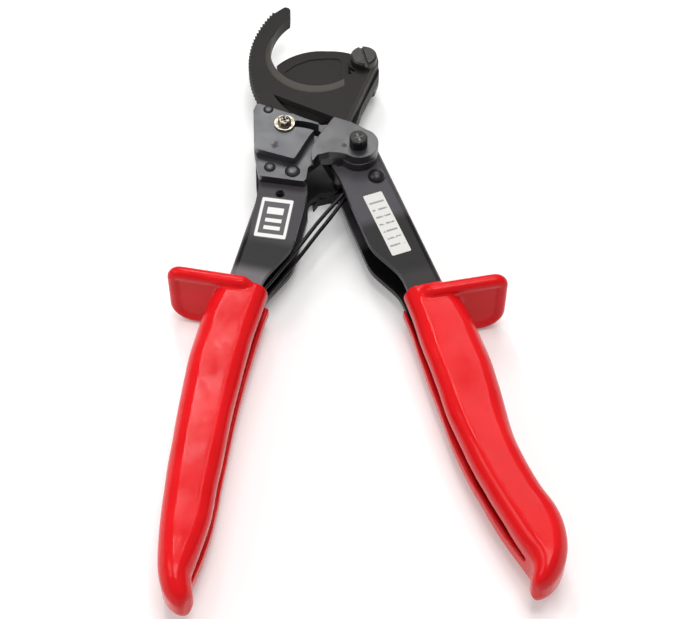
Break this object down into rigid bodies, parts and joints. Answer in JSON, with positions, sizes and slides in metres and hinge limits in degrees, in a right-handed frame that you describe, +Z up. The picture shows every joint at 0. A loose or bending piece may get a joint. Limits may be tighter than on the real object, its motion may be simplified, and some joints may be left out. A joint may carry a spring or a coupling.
{
  "type": "ratchet cable cutter",
  "caption": "Hand ratchet cable cutter lying flat: toothed hook blade over a fixed blade, black steel head and channel handles, red dipped grips with guards.",
  "frame": {"origin": "on the handle pivot's axis, at the flat outer face of the lower ear that the tool lies on", "axes": "+Z up out of the surface the tool lies on, +Y towards the cutting head, +X to the right seen from above with the head away from the reader"},
  "size_m": [0.1356, 0.2671, 0.0348],
  "materials": {
    "black_steel": "semi-gloss black enamel on pressed steel",
    "black_plate": "semi-gloss blue-black enamel on steel plate",
    "blade_steel": "satin black oxide, ground grey at the edges",
    "pawl_steel": "oiled hardened steel",
    "bright_steel": "bare hardened steel",
    "black_bolt": "black oxide, oiled",
    "nickel": "nickel plate",
    "spring_steel": "dark oiled spring wire",
    "red_vinyl": "glossy dipped vinyl"
  },
  "bodies": {
    "fixed_handle": {"fixed_channel": "black_steel", "fixed_grip": "red_vinyl", "fixed_blade": "blade_steel", "pivot_bush": "bright_steel", "blade_bolt": "black_bolt", "blade_nut": "black_bolt", "blade_rivet": "black_bolt", "holding_pawl_pin": "bright_steel", "holding_pawl_spring": "spring_steel"},
    "moving_handle": {"moving_channel": "black_steel", "moving_grip": "red_vinyl", "head_plate_top": "black_plate", "head_plate_bottom": "black_plate", "ear_plate_top": "black_plate", "ear_plate_bottom": "black_plate", "cover_plate": "black_plate", "cover_rivet": "black_bolt", "handle_rivet": "black_bolt", "drive_pawl_pin": "black_bolt", "drive_pawl_spring": "spring_steel", "ear_dowels": "bright_steel", "pivot_screw": "black_bolt", "return_spring": "spring_steel"},
    "moving_blade": {"moving_blade": "blade_steel"},
    "drive_pawl": {"drive_pawl": "pawl_steel", "release_screw": "nickel", "release_washer": "nickel"},
    "holding_pawl": {"holding_pawl": "pawl_steel"}
  },
  "joints": [
    {"name": "handle_pivot", "type": "hinge", "parent": "fixed_handle", "child": "moving_handle", "pos_m": [0, 0, 0.01525], "axis": [0, 0, 1], "range_deg": [0, 27], "stiffness_Nm_per_rad": 0.5, "springref_deg": -45.84, "deforming": ["return_spring"]},
    {"name": "blade_pivot", "type": "hinge", "parent": "fixed_handle", "child": "moving_blade", "pos_m": [0.0025, 0.0523, 0.01525], "axis": [0, 0, 1], "range_deg": [0, 60]},
    {"name": "drive_pawl_pivot", "type": "hinge", "parent": "moving_handle", "child": "drive_pawl", "pos_m": [-0.0246, -0.0102, 0.01525], "axis": [0, 0, 1], "range_deg": [-36, 0]},
    {"name": "holding_pawl_pivot", "type": "hinge", "parent": "fixed_handle", "child": "holding_pawl", "pos_m": [-0.0072, -0.004, 0.01525], "axis": [0, 0, 1], "range_deg": [0, 5], "stiffness_Nm_per_rad": 0.01, "springref_deg": -20.05}
  ],
  "couplings": [
    {"joint": "drive_pawl_pivot", "follows": "handle_pivot", "ratio": -1.3}
  ]
}
